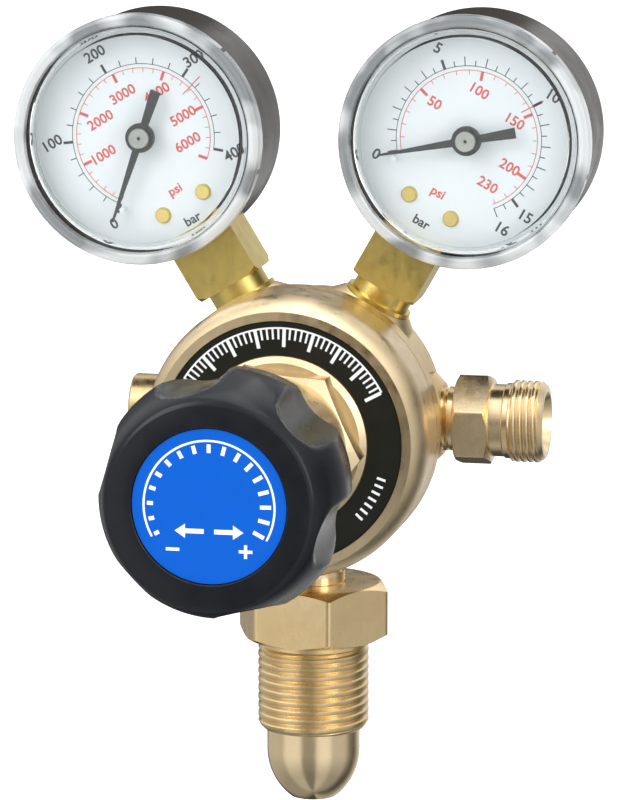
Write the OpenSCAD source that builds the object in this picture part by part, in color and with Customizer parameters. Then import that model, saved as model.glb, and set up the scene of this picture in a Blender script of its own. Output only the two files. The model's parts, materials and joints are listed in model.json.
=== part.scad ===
// Two-gauge gas regulator with a bottom inlet nut, a side outlet and an adjusting knob.
// Millimetres. +Z is up along the inlet axis, -Y is toward the knob, +X is toward the outlet.
// The origin is on the inlet axis, at the lower end of the nut's thread.

/* [Overall] */
// Diameter of the round body and bonnet
body_d = 57.8; // [54:0.1:72]
// Distance from the body centre to the front of the knob
knob_reach = 98.6; // [97:0.1:120]
// Distance from the end of a port boss to its gauge's centre
gauge_stem = 39.3; // [34:0.1:50]
// Lean of the left gauge from upright, in degrees
lean_left = 31.3; // [28:0.1:40]
// Lean of the right gauge from upright, in degrees
lean_right = 29.4; // [28:0.1:40]

/* [Body and bonnet] */
// Distance from the body centre to the back face
body_back = 11.5; // [11:0.1:16]
// Distance from the body centre to the joint between body and bonnet
seam_reach = 17.5; // [17:0.1:22]
// Distance from the body centre to the bonnet's label lip
lip_reach = 33.4; // [31:0.1:40]
// Distance from the body centre to the front end of the bonnet's neck
neck_reach = 66; // [60:0.1:66.5]
// Width across the flats of the bonnet's hexagon
neck_af = 30; // [29:0.1:34]
// Length of the bonnet's hexagon in front of the label lip
neck_hex_h = 7; // [5:0.1:9]
// Length of each port boss beyond the body's block
boss_len = 2.3; // [2.2:0.1:5]
// Diameter of the threads that screw into the body's ports
port_d = 13.16; // [12:0.02:14]
// Pitch of the threads that screw into the body's ports
port_pitch = 1.337; // [1:0.001:1.5]
// Radial clearance between a screwed part and its hole
screw_gap = 0.04; // [0.02:0.01:0.1]
// Radial running clearance of moving parts
run_gap = 0.05; // [0.02:0.01:0.1]

/* [Knob and pressure spring] */
// Largest diameter of the knob
knob_d = 48; // [44:0.1:58]
// Length of the knob
knob_len = 28; // [26:0.1:30]
// Diameter of the coloured disc on the knob
disc_d = 29.6; // [24:0.1:32]
// Radius of each finger flute round the knob
flute_r = 8.5; // [6:0.1:9]
// Least distance from the knob's axis to the floor of a flute
flute_floor = 19.8; // [19.6:0.1:21]
// Diameter of the adjusting screw
screw_d = 12; // [10:0.1:13]
// Pitch of the adjusting screw
screw_pitch = 1.5; // [1:0.25:2]
// Outer diameter of the pressure spring
spring_d = 23; // [20:0.1:24]
// Wire diameter of the pressure spring
spring_wire = 3; // [2:0.1:3.2]

/* [Gauges] */
// Outer diameter of the gauge lens
gauge_d = 51.2; // [48:0.1:62]
// Distance from a gauge's centre plane to its back
gauge_back = 16; // [14:0.1:20]
// Distance from a gauge's centre plane to the front of its lens
gauge_front = 10.9; // [10.5:0.1:14]
// Width across the flats of the gauge shank
shank_af = 14; // [12:0.1:15]

/* [Inlet and outlet] */
// Diameter of the inlet nut's thread
nut_thread_d = 22.91; // [20:0.01:28]
// Pitch of the inlet nut's thread
nut_pitch = 1.814; // [1.2:0.001:2.4]
// Length of the inlet nut's full thread
nut_thread_len = 16.6; // [12:0.1:20]
// Height of the inlet nut's hexagon
nut_hex_h = 11.8; // [9:0.1:15]
// Length of bare stem between the inlet boss and the nut
stem_len = 7.7; // [5:0.1:12]
// Width across the flats of the inlet nut
nut_af = 28; // [26:0.1:34]
// Diameter of the inlet nose
nose_d = 19.2; // [16:0.1:20]
// Length of the inlet nose below the nut
nose_len = 14.7; // [12:0.1:18]
// Length of the outlet beyond its boss
outlet_len = 21.2; // [20:0.1:30]
// Diameter of the outlet thread
outlet_thread_d = 16.66; // [14:0.01:18]
// Pitch of the outlet thread
outlet_pitch = 1.337; // [1:0.001:1.8]
// Width across the flats of the outlet hexagon
outlet_af = 17; // [17:0.1:22]
// Diameter of the round relief valve
relief_d = 14; // [13.6:0.1:19]
// Length of the relief valve beyond its boss
relief_len = 10.3; // [9:0.1:16]

/* [Hidden] */
$fn = 96;
brass = [0.80, 0.64, 0.36];
steel = [0.72, 0.73, 0.74];
black = [0.10, 0.10, 0.11];
rubber = [0.12, 0.12, 0.12];

body_r = body_d / 2;
block_r = body_r - 3.9;
boss_reach = block_r + boss_len;
gauge_reach = boss_reach + gauge_stem;
outlet_reach = boss_reach + outlet_len;
relief_reach = boss_reach + relief_len;
cup_r = body_r - 4.9;
chamber_r = body_r - 10.4;
port_r = port_d / 2;
port_floor = chamber_r + 0.5;
seal_t = 0.8;
collar_t = 1.4;
nut_top = boss_reach + stem_len;
body_h = nut_top + nut_hex_h + collar_t + nut_thread_len;
thread_top = port_floor + seal_t;

// stations along the body axis, measured forward from the body centre
drum_back = seam_reach - 5;
ledge = drum_back - 1.9;
diaphragm_t = 1.6;
ring_t = 0.8;
skirt_end = ledge + diaphragm_t + ring_t;
chamber_floor = ledge - 2.6;
bore_r = 8;
bore_floor = -9;
flange_r = 9.4;
flange_t = 2;
nozzle_back = 1.5;
lip_h = 0.4;
lift = 0.8;
plate_t = 2.5;
washer_t = 1.2;
plate_front = ledge + diaphragm_t + plate_t;

// bonnet
edge_reach = lip_reach - 6.9;
round_r = 9.7;
label_r = body_r - 4.26;
label_in = 17.7;
label_t = 0.5;
neck_r = neck_af / 2 - 0.2;
neck_front = lip_reach + neck_hex_h;
spring_bore = spring_d / 2 + 1.1;
spigot_r = spring_d / 2 - spring_wire - 0.6;
nut_len = 12;

// adjusting screw, ball and spring seat
ball_r = 2.5;
tip = neck_reach - nut_len - 3.5;
seat_front = tip - 2;
seat_back = seat_front - 4.5;
hub_back = knob_reach - 18.6;
flute_end = knob_reach - 7;

// gauge
lens_r = gauge_d / 2;
case_r = lens_r - 0.7;
case_t = 0.8;
dial_face = 3.6;
dial_t = 0.4;
dial_r = case_r - 1.5;
window_t = 1.6;
pinion_r = 1.5;
sector_r = 12.9;
pivot_d = sector_r + pinion_r;
pivot_a = 215;
pivot = [pivot_d * cos(pivot_a), pivot_d * sin(pivot_a)];
tube_r = 17;
tube_tip_a = 200;
zero_a = -90 - 50;
dial_screw_r = 16.7;
dial_screw_a = 17;
shank_end = boss_reach + 4.1;

// inlet
nut_end = body_h + 1;
stem_r = 6.5;
nose_r = nose_d / 2;

// outlet and relief valve
out_hex = boss_reach + 2.7;
out_hex_h = 7.5;
relief_seat = port_floor + 5;
cap_back = relief_reach - 4;

// ---------- placing ----------

// local Z points forward from the body centre
module forward() {
    translate([0, 0, body_h]) rotate([90, 0, 0]) children();
}

// local Z points outward along a port, leaning by the given angle from upright
module port(angle) {
    translate([0, 0, body_h]) rotate([0, angle, 0]) children();
}

// local Z points forward from a gauge's centre, local Y away from the body
module gauge(lean) {
    port(lean) translate([0, 0, gauge_reach]) rotate([90, 0, 0]) children();
}

// ---------- shapes ----------

function ridge(r, pitch, depth, a, b) =
    let (n = floor((b - a - 0.05) / pitch))
    concat(
        [[0, a]],
        [for (i = [0 : n - 1]) each [
            [r, a + i * pitch],
            [r, a + (i + 0.3) * pitch],
            [r - depth, a + (i + 0.6) * pitch],
            [r - depth, a + (i + 0.7) * pitch]]],
        [[r, a + n * pitch], [r, b], [0, b]]);

// a thread drawn as level ridges with flat crests
module ridged(r, pitch, depth, a, b) {
    rotate_extrude() polygon(ridge(r, pitch, depth, a, b));
}

// a tube from a to b
module ring(outer, inner, a, b) {
    translate([0, 0, a]) difference() {
        cylinder(r = outer, h = b - a);
        translate([0, 0, -1]) cylinder(r = inner, h = b - a + 2);
    }
}

// a solid round bar from a to b
module bar(r, a, b) {
    translate([0, 0, a]) cylinder(r = r, h = b - a);
}

// a cone or frustum from radius ra at a to radius rb at b
module taper(ra, rb, a, b) {
    translate([0, 0, a]) cylinder(r1 = ra, r2 = rb, h = b - a);
}

// a hexagon bar with its corners turned down by 30 degrees at the chosen ends
module hexagon(af, a, b, low = true, high = true, turn = 0) {
    corner = af / sqrt(3);
    wide = corner + 0.3;
    flat = af / 2 - 0.2;
    drop = (wide - flat) * tan(30);
    intersection() {
        rotate(turn) translate([0, 0, a]) cylinder(r = corner, h = b - a, $fn = 6);
        rotate_extrude() polygon(concat(
            [[0, a]],
            low ? [[flat, a], [wide, a + drop]] : [[wide, a]],
            high ? [[wide, b - drop], [flat, b]] : [[wide, b]],
            [[0, b]]));
    }
}

// level section through a coiled wire, to be extruded with a twist
function coil_section(r, wire, rise, n) =
    let (reach = 360 * wire / 2 / rise)
    concat(
        [for (i = [0 : n]) let (t = -cos(180 * i / n), w = sqrt(max(0, 1 - t * t)) * wire / 2)
            [(r + w) * cos(t * reach), (r + w) * sin(t * reach)]],
        [for (i = [n - 1 : -1 : 1]) let (t = -cos(180 * i / n), w = sqrt(max(0, 1 - t * t)) * wire / 2)
            [(r - w) * cos(t * reach), (r - w) * sin(t * reach)]]);

// a coiled spring from a to b
module coil(outer, wire, turns, a, b) {
    rise = (b - a) / turns;
    translate([0, 0, a])
        linear_extrude(height = b - a, twist = -360 * turns, slices = turns * 18, $fn = 16)
            polygon(coil_section(outer - wire / 2, wire, rise, 8));
}

// ---------- body ----------

module port_boss(angle) {
    port(angle) {
        bar(9.4, 0, boss_reach - 2.1);
        taper(9.4, 7.3, boss_reach - 2.1, boss_reach);
    }
}

module port_hole(angle, pilot) {
    port(angle) {
        bar(port_r + screw_gap, port_floor, boss_reach + 1);
        bar(pilot, port_floor - 3, port_floor + 1);
    }
}

// passage from a low pressure port into the chamber behind the diaphragm
module chamber_passage(angle) {
    port(angle) translate([0, 0, port_floor - 1.5]) rotate([90, 0, 0]) bar(1.5, -1, chamber_floor + 1);
}

module body() {
    color(brass) difference() {
        union() {
            forward() {
                bar(body_r, drum_back + 0.6, seam_reach);
                taper(body_r - 0.6, body_r, drum_back, drum_back + 0.6);
                bar(block_r, -body_back + 1, drum_back + 1);
                taper(block_r - 1, block_r, -body_back, -body_back + 1);
            }
            port_boss(180);
            port_boss(90);
            port_boss(-90);
            port_boss(-lean_left);
            port_boss(lean_right);
        }
        forward() {
            bar(cup_r, ledge, seam_reach + 1);
            bar(chamber_r, chamber_floor, ledge + 1);
            bar(flange_r + screw_gap, chamber_floor - flange_t, chamber_floor + 1);
            bar(bore_r, bore_floor, chamber_floor + 1);
        }
        port_hole(180, 2.5);
        port(180) bar(2.5, bore_r - 2, port_floor);
        port_hole(90, 1.5);
        chamber_passage(90);
        port_hole(-90, 1.5);
        chamber_passage(-90);
        port_hole(-lean_left, 1.5);
        port(-lean_left) bar(1.5, bore_r - 2, port_floor);
        port_hole(lean_right, 1.5);
        chamber_passage(lean_right);
    }
}

// ---------- bonnet ----------

module bonnet() {
    color(brass) forward() difference() {
        union() {
            bar(body_r - 0.25, seam_reach, seam_reach + 0.3);
            bar(body_r, seam_reach + 0.3, edge_reach);
            rotate_extrude() intersection() {
                translate([body_r - round_r, edge_reach]) circle(r = round_r);
                translate([0, edge_reach]) square([body_r + 1, lip_reach - 0.4 - edge_reach]);
            }
            ring(body_r - 2.5, label_r, lip_reach - 0.4, lip_reach);
            bar(cup_r - screw_gap, skirt_end, seam_reach + 1);
            bar(label_in - 0.1, lip_reach - 1, lip_reach + 0.3);
            taper(label_in - 0.1, label_in - 1.3, lip_reach + 0.3, lip_reach + 1.3);
            hexagon(neck_af, lip_reach + 0.5, neck_front, false, true, -6);
            bar(neck_r, neck_front - 1, neck_reach - nut_len);
            taper(neck_r, neck_r - 3, neck_reach - nut_len, neck_reach);
        }
        ring(label_r, label_in - 0.1, lip_reach - 0.4 - label_t, lip_reach + 0.1);
        bar(cup_r - 5, skirt_end - 1, lip_reach - 12);
        taper(cup_r - 5, spring_bore, lip_reach - 12, lip_reach - 8);
        bar(spring_bore, lip_reach - 9, neck_reach - nut_len);
        bar(screw_d / 2 + run_gap, neck_reach - nut_len - 1, neck_reach + 1);
        taper(screw_d / 2, screw_d / 2 + 1.5, neck_reach - 1.4, neck_reach + 0.1);
        translate([0, 0, lip_reach + 10]) rotate([90, 0, 0]) bar(1.25, 5, neck_r + 2);
    }
}

module label_ring() {
    color(black) forward()
        ring(label_r - 0.05, label_in, lip_reach - 0.4 - label_t, lip_reach - 0.4);
}

// ---------- pressure control ----------

module diaphragm() {
    color(rubber) forward() ring(cup_r - screw_gap, 2.05, ledge, ledge + diaphragm_t);
}

module slip_ring() {
    color(brass) forward() ring(cup_r - screw_gap, cup_r - 5, ledge + diaphragm_t, skirt_end);
}

module diaphragm_plate() {
    color(steel) forward() {
        bar(cup_r - 9, ledge + diaphragm_t, plate_front);
        bar(spigot_r, plate_front - 0.5, plate_front + 1.8);
        bar(2, ledge - 0.5, ledge + diaphragm_t + 0.5);
        bar(6, ledge - washer_t, ledge);
    }
}

module valve_nozzle() {
    color(brass) forward() difference() {
        union() {
            bar(flange_r, chamber_floor - flange_t, chamber_floor + 0.2);
            bar(bore_r - 0.03, nozzle_back, chamber_floor - flange_t + 0.5);
            bar(3, nozzle_back - lip_h, nozzle_back + 0.5);
        }
        bar(2.2, nozzle_back - 1, chamber_floor + 1);
        ring(bore_r + 1, bore_r - 1.6, nozzle_back + 1.2, nozzle_back + 3);
        for (s = [-1, 1])
            translate([6 * s, 0, 0]) bar(0.9, chamber_floor - 1.2, chamber_floor + 1);
    }
}

module nozzle_seal() {
    color(rubber) forward() translate([0, 0, nozzle_back + 2.1])
        rotate_extrude() translate([bore_r - 0.8, 0]) circle(r = 0.79);
}

module valve_poppet() {
    color(brass) forward() difference() {
        union() {
            bar(4.5, -1.5, nozzle_back - lip_h);
            bar(1.3, 0, ledge - washer_t);
            bar(1.8, -5.5, -1);
        }
        ring(3.6, 1.3, nozzle_back - lip_h - 0.8, nozzle_back);
    }
}

module poppet_pad() {
    color([0.90, 0.88, 0.80]) forward()
        ring(3.58, 1.32, nozzle_back - lip_h - 0.8, nozzle_back - lip_h);
}

module poppet_spring() {
    color(steel) forward() coil(3.8, 0.7, 4, bore_floor, -1.5);
}

module main_spring() {
    color(steel) forward() coil(spring_d / 2, spring_wire, 5, plate_front, seat_back);
}

module spring_seat() {
    color(steel) forward() difference() {
        union() {
            bar(spring_bore - 0.15, seat_back, seat_back + 3);
            bar(6, seat_back + 2, seat_front);
            bar(spigot_r, seat_back - 1.8, seat_back + 1);
        }
        translate([0, 0, (tip + seat_front) / 2]) sphere(r = ball_r + 0.02);
    }
}

module thrust_ball() {
    color(steel) forward() translate([0, 0, (tip + seat_front) / 2]) sphere(r = ball_r);
}

module adjusting_screw() {
    color(steel) forward() difference() {
        union() {
            bar(screw_d / 2 - 1.2, tip, tip + 2.5);
            taper(screw_d / 2 - 1, screw_d / 2, tip + 2, tip + 3);
            ridged(screw_d / 2, screw_pitch, 0.8, tip + 3, hub_back - 1);
            bar(screw_d / 2 - 0.8, hub_back - 2, hub_back + 1);
            translate([0, 0, hub_back]) cylinder(r = screw_d / sqrt(3), h = 12, $fn = 6);
        }
        translate([0, 0, (tip + seat_front) / 2]) sphere(r = ball_r + 0.02);
    }
}

// ---------- knob ----------

module knob() {
    r = knob_d / 2;
    f = knob_reach;
    color(black) forward() difference() {
        rotate_extrude() polygon([
            [0, f - knob_len], [r - 3.1, f - knob_len], [r - 2.3, f - knob_len + 0.6],
            [r - 1.8, f - knob_len + 1.9], [r - 1.0, f - knob_len + 5.4],
            [r - 0.4, f - knob_len + 9.4], [r, f - 14], [r - 0.3, f - 10.6],
            [r - 1.2, f - 6.6], [r - 2.1, f - 3.6], [r - 3.0, f - 1.6],
            [r - 3.8, f - 0.5], [r - 4.7, f], [0, f]]);
        for (k = [0 : 5])
            rotate(44 + 60 * k) translate([flute_floor + flute_r, 0, 0]) {
                bar(flute_r, f - knob_len - 1, flute_end);
                translate([0, 0, flute_end]) sphere(r = flute_r);
            }
        ring(r - 5.4, 8.2, f - knob_len - 1, f - 9);
        bar(9, f - knob_len - 1, hub_back);
        translate([0, 0, hub_back - 1]) cylinder(r = screw_d / sqrt(3), h = 13, $fn = 6);
        bar(disc_d / 2 + 0.15, f - 1.3, f + 1);
    }
}

module knob_disc() {
    color([0.0, 0.37, 0.87]) forward() bar(disc_d / 2, knob_reach - 1.3, knob_reach - 0.5);
}

// ---------- inlet ----------

module port_seal(angle, inner) {
    color(brass) port(angle) ring(port_r - 0.2, inner, port_floor, thread_top);
}

module inlet_seal() {
    port_seal(180, 3);
}

module inlet_stem() {
    foot = nut_end + 4.7;
    tip_end = nut_end + nose_len;
    bulge = ((nose_r - 4.75) * (nose_r - 4.75) + pow(tip_end - foot, 2)) / (2 * (nose_r - 4.75));
    color(brass) port(180) difference() {
        union() {
            ridged(port_r, port_pitch, 0.7, thread_top, boss_reach);
            bar(stem_r - 0.65, boss_reach - 1, nut_top - 2);
            bar(stem_r, nut_top - 2.4, nut_end + 1);
            bar(nose_r, nut_end + run_gap, foot);
            rotate_extrude() intersection() {
                translate([nose_r - bulge, foot]) circle(r = bulge);
                translate([0, foot]) square([nose_r + 1, tip_end - foot]);
            }
        }
        bar(2.5, thread_top - 1, nut_end);
        bar(3, nut_end + 1, tip_end + 1);
        bar(2, nut_end - 1, nut_end + 2);
        taper(3, 3.6, tip_end - 0.6, tip_end + 0.01);
    }
}

module inlet_filter() {
    color([0.62, 0.47, 0.30]) port(180) difference() {
        bar(2.96, nut_end + 1, nut_end + 11);
        bar(1.6, nut_end + 3, nut_end + 12);
    }
}

module filter_clip() {
    color(steel) port(180) ring(2.98, 2.2, nut_end + 11, nut_end + 11.8);
}

module inlet_nut() {
    r = nut_thread_d / 2;
    collar = nut_top + nut_hex_h;
    color(brass) port(180) difference() {
        union() {
            hexagon(nut_af, nut_top, collar, true, true, 7);
            bar(r - 0.35, collar - 1, collar + collar_t + 0.1);
            ridged(r, nut_pitch, nut_pitch * 0.55, body_h - nut_thread_len, body_h);
            taper(r, r - 1, body_h, nut_end);
        }
        bar(stem_r + run_gap, nut_top - 1, nut_end + 1);
    }
}

// ---------- outlet ----------

module outlet_seal() {
    port_seal(90, 3.2);
}

module outlet_fitting() {
    r = outlet_thread_d / 2;
    full = outlet_reach - 1;
    color(brass) port(90) difference() {
        union() {
            ridged(port_r, port_pitch, 0.7, thread_top, boss_reach);
            bar(port_r - 0.1, boss_reach - 1, out_hex + 1);
            hexagon(outlet_af, out_hex, out_hex + out_hex_h, true, true, 12);
            bar(r - 0.95, out_hex + out_hex_h - 1, outlet_reach - 8);
            bar(r - 0.55, out_hex + out_hex_h + 2.1, outlet_reach - 6.8);
            ridged(r, outlet_pitch, outlet_pitch * 0.55, full - 5.9, full);
            taper(r, r - 1, full, outlet_reach);
        }
        bar(3, thread_top - 1, outlet_reach + 1);
        taper(2.9, 6.2, outlet_reach - 5.7, outlet_reach + 0.01);
    }
}

// ---------- relief valve ----------

module relief_seal() {
    port_seal(-90, 2);
}

module relief_housing() {
    color(brass) port(-90) difference() {
        union() {
            ridged(port_r, port_pitch, 0.7, thread_top, boss_reach);
            bar(port_r - 0.1, boss_reach - 1, boss_reach + 2);
            bar(relief_d / 2, boss_reach + 1.4, relief_reach - 0.4);
            taper(relief_d / 2, relief_d / 2 - 0.4, relief_reach - 0.4, relief_reach);
        }
        bar(1.6, thread_top - 1, relief_seat + 1);
        bar(5, relief_seat, relief_reach + 1);
    }
}

module relief_poppet() {
    color(steel) port(-90) {
        bar(4, relief_seat, relief_seat + 2);
        bar(1.2, relief_seat + 1, relief_seat + 6.5);
    }
}

module relief_spring() {
    color(steel) port(-90) coil(3.8, 0.7, 4, relief_seat + 2, cap_back);
}

module relief_cap() {
    color(brass) port(-90) difference() {
        bar(5 - screw_gap, cap_back, relief_reach - 0.6);
        bar(1.5, cap_back - 1, relief_reach);
        translate([-0.5, -6, relief_reach - 1.6]) cube([1, 12, 2]);
    }
}

// ---------- gauges ----------

// the block inside the case that carries the tube and the movement, or a deeper one to cut with
module socket_block(deeper = 0) {
    w = shank_af / 2 - 0.5;
    translate([-w, -case_r - 1, -6 - deeper])
        cube([2 * w, case_r - 10, dial_face - dial_t + 6 + deeper]);
}

module gauge_seal(lean) {
    port_seal(lean, 2);
}

module gauge_socket(lean) {
    w = shank_af / 2;
    length = gauge_reach - case_r + 1.5 - shank_end;
    color(brass) difference() {
        union() {
            port(lean) {
                ridged(port_r, port_pitch, 0.7, thread_top, boss_reach + 0.1);
                bar(port_r + 0.5, boss_reach + 0.05, boss_reach + 0.95);
                bar(port_r - 0.4, boss_reach + 0.5, shank_end + 1);
                intersection() {
                    translate([-w, -w, shank_end]) cube([2 * w, 2 * w, length]);
                    union() {
                        taper(w * 1.22, w * 1.5, shank_end, shank_end + 1.6);
                        bar(w * 1.5, shank_end + 1.6, shank_end + length);
                    }
                }
            }
            gauge(lean) socket_block();
        }
        port(lean) bar(1.2, thread_top - 1, gauge_reach - 14);
        gauge(lean) for (s = [-1, 1]) dial_screw_at(s) bar(1.02, -1, dial_face);
    }
}

module gauge_case(lean) {
    w = shank_af / 2 + 0.05;
    color([0.13, 0.09, 0.07]) gauge(lean) difference() {
        rotate_extrude() polygon([
            [0, -gauge_back], [case_r - 2.6, -gauge_back], [case_r - 1.3, -gauge_back + 0.35],
            [case_r - 0.35, -gauge_back + 1.3], [case_r, -gauge_back + 2.6],
            [case_r, gauge_front - 2], [case_r - case_t, gauge_front - 2],
            [case_r - case_t, -gauge_back + 2.6], [case_r - 1.5, -gauge_back + 1.5],
            [case_r - 2.8, -gauge_back + case_t], [0, -gauge_back + case_t]]);
        translate([-w, -case_r - 2, -w]) cube([2 * w, 6, 2 * w]);
        translate([0, case_r / 2, 0]) bar(5, -gauge_back - 1, -gauge_back + 2);
    }
}

module gauge_vent(lean) {
    color(rubber) gauge(lean) translate([0, case_r / 2, 0]) {
        bar(4.95, -gauge_back, -gauge_back + 1);
        bar(6, -gauge_back + case_t, -gauge_back + case_t + 0.7);
    }
}

module gauge_tube(lean) {
    color([0.78, 0.55, 0.30]) gauge(lean) difference() {
        union() {
            rotate(-80) rotate_extrude(angle = tube_tip_a + 80)
                translate([tube_r - 0.9, -6]) square([1.8, 6]);
            rotate(tube_tip_a) translate([tube_r - 1.4, -0.8, -6]) cube([2.8, 3.2, 6]);
            rotate(tube_tip_a) translate([tube_r, 1, 0]) bar(0.5, -1, 2);
        }
        rotate(-85) rotate_extrude(angle = tube_tip_a + 84)
            translate([tube_r - 0.5, -5.5]) square([1, 5]);
        socket_block(1);
    }
}

module gauge_frame(lean) {
    color(brass) gauge(lean) difference() {
        union() {
            for (z = [-7, 1.8])
                translate([-14, -11, z]) cube([18, 15, 0.8]);
            for (p = [[-12.6, 2.6], [2.6, 2.6], [2.6, -9.6]])
                translate([p[0], p[1], 0]) bar(0.9, -6.5, 2);
        }
        bar(0.85, -8, 3);
        translate([pivot[0], pivot[1], 0]) bar(0.65, -8, 3);
        rotate(tube_tip_a) translate([tube_r - 2, -1.4, 1]) cube([5, 5, 3]);
    }
}

module gauge_sector(lean) {
    color(brass) gauge(lean) translate([pivot[0], pivot[1], 0]) {
        bar(0.6, -7, 2.6);
        bar(1.6, 0.5, 1.1);
        difference() {
            rotate(pivot_a - 180 - 37) rotate_extrude(angle = 41)
                translate([1, 0.5]) square([sector_r - 1.05, 0.6]);
            rotate(pivot_a - 180 - 32) rotate_extrude(angle = 31)
                translate([2.6, 0]) square([sector_r - 5.2, 2]);
        }
        rotate(pivot_a) translate([0, -0.7, 0.5]) cube([3.6, 1.4, 0.6]);
    }
}

module gauge_link(lean) {
    a = [tube_r * cos(tube_tip_a) - sin(tube_tip_a), tube_r * sin(tube_tip_a) + cos(tube_tip_a)];
    b = [(pivot_d + 2.9) * cos(pivot_a), (pivot_d + 2.9) * sin(pivot_a)];
    d = b - a;
    length = norm(d);
    color(brass) gauge(lean) difference() {
        translate([a[0], a[1], 1.15]) rotate(atan2(d[1], d[0]))
            translate([-0.9, -0.8, 0]) cube([length + 1.8, 1.6, 0.4]);
        translate([a[0], a[1], 0]) bar(0.55, 0, 3);
    }
}

module gauge_dial(lean) {
    color([0.95, 0.97, 0.98]) gauge(lean) {
        difference() {
            bar(dial_r, dial_face - dial_t, dial_face);
            bar(1.5, 0, 5);
            for (s = [-1, 1]) dial_screw_at(s) bar(1.1, 0, 5);
        }
        rotate(zero_a + 4) translate([15.4, 0, 0]) bar(0.5, dial_face - 0.2, dial_face + 3);
    }
}

module dial_screw_at(s) {
    rotate(-90 + dial_screw_a * s) translate([dial_screw_r, 0, 0]) children();
}

module gauge_screws(lean) {
    color(brass) gauge(lean) for (s = [-1, 1]) dial_screw_at(s) {
        bar(1, -1, dial_face + 0.3);
        taper(1.7, 1.3, dial_face, dial_face + 0.7);
    }
}

// the pointer rests at zero, 50 degrees clockwise from the shank
module gauge_pointer(lean) {
    color(black) gauge(lean) {
        rotate(zero_a) translate([0, 0, dial_face + 2.4]) linear_extrude(0.4) polygon([
            [-10.1, -1.1], [-2, -0.75], [2, -0.8], [18.5, -0.2],
            [18.5, 0.2], [2, 0.8], [-2, 0.75], [-10.1, 1.1]]);
        bar(3, dial_face + 2.3, dial_face + 3.3);
        bar(2.05, dial_face + 3, dial_face + 4.4);
        bar(0.8, -7, dial_face + 3);
        bar(pinion_r - 0.05, 0.3, 1.4);
    }
}

module gauge_lens(lean) {
    color([0.85, 0.90, 0.95, 0.4]) gauge(lean) difference() {
        rotate_extrude() polygon([
            [0, gauge_front - 1.7], [lens_r - 4.4, gauge_front - 1.7], [lens_r - 4.0, gauge_front - 4.2],
            [lens_r - 3.4, gauge_front - 4.2], [lens_r - 3.0, gauge_front - 2],
            [lens_r - 0.65, gauge_front - 2], [lens_r - 0.65, shank_af / 2 + 0.2],
            [lens_r, shank_af / 2 + 0.2], [lens_r, gauge_front - 0.8],
            [lens_r - 0.25, gauge_front - 0.25], [lens_r - 0.8, gauge_front],
            [lens_r - 1.8, gauge_front], [lens_r - 2.6, gauge_front - 0.5], [0, gauge_front - 0.5]]);
        for (k = [0 : 5]) rotate(60 * k + 15)
            translate([lens_r - 0.65, -0.5, 0]) cube([2, 1, gauge_front - 1.2]);
    }
}

module seal_left() { gauge_seal(-lean_left); }
module socket_left() { gauge_socket(-lean_left); }
module case_left() { gauge_case(-lean_left); }
module vent_left() { gauge_vent(-lean_left); }
module tube_left() { gauge_tube(-lean_left); }
module frame_left() { gauge_frame(-lean_left); }
module sector_left() { gauge_sector(-lean_left); }
module link_left() { gauge_link(-lean_left); }
module dial_left() { gauge_dial(-lean_left); }
module screws_left() { gauge_screws(-lean_left); }
module pointer_left() { gauge_pointer(-lean_left); }
module lens_left() { gauge_lens(-lean_left); }
module seal_right() { gauge_seal(lean_right); }
module socket_right() { gauge_socket(lean_right); }
module case_right() { gauge_case(lean_right); }
module vent_right() { gauge_vent(lean_right); }
module tube_right() { gauge_tube(lean_right); }
module frame_right() { gauge_frame(lean_right); }
module sector_right() { gauge_sector(lean_right); }
module link_right() { gauge_link(lean_right); }
module dial_right() { gauge_dial(lean_right); }
module screws_right() { gauge_screws(lean_right); }
module pointer_right() { gauge_pointer(lean_right); }
module lens_right() { gauge_lens(lean_right); }

// ---------- choosing ----------

body();
bonnet();
label_ring();
diaphragm();
slip_ring();
diaphragm_plate();
valve_nozzle();
nozzle_seal();
valve_poppet();
poppet_pad();
poppet_spring();
main_spring();
spring_seat();
thrust_ball();
adjusting_screw();
knob();
knob_disc();
inlet_seal();
inlet_stem();
inlet_filter();
filter_clip();
inlet_nut();
outlet_seal();
outlet_fitting();
relief_seal();
relief_housing();
relief_poppet();
relief_spring();
relief_cap();
seal_left();
socket_left();
case_left();
vent_left();
tube_left();
frame_left();
sector_left();
link_left();
dial_left();
screws_left();
pointer_left();
lens_left();
seal_right();
socket_right();
case_right();
vent_right();
tube_right();
frame_right();
sector_right();
link_right();
dial_right();
screws_right();
pointer_right();
lens_right();
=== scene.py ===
"""Looks for a two-gauge gas regulator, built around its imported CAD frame."""

import json
import math

import bmesh
import bpy
from mathutils import Matrix, Vector


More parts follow.
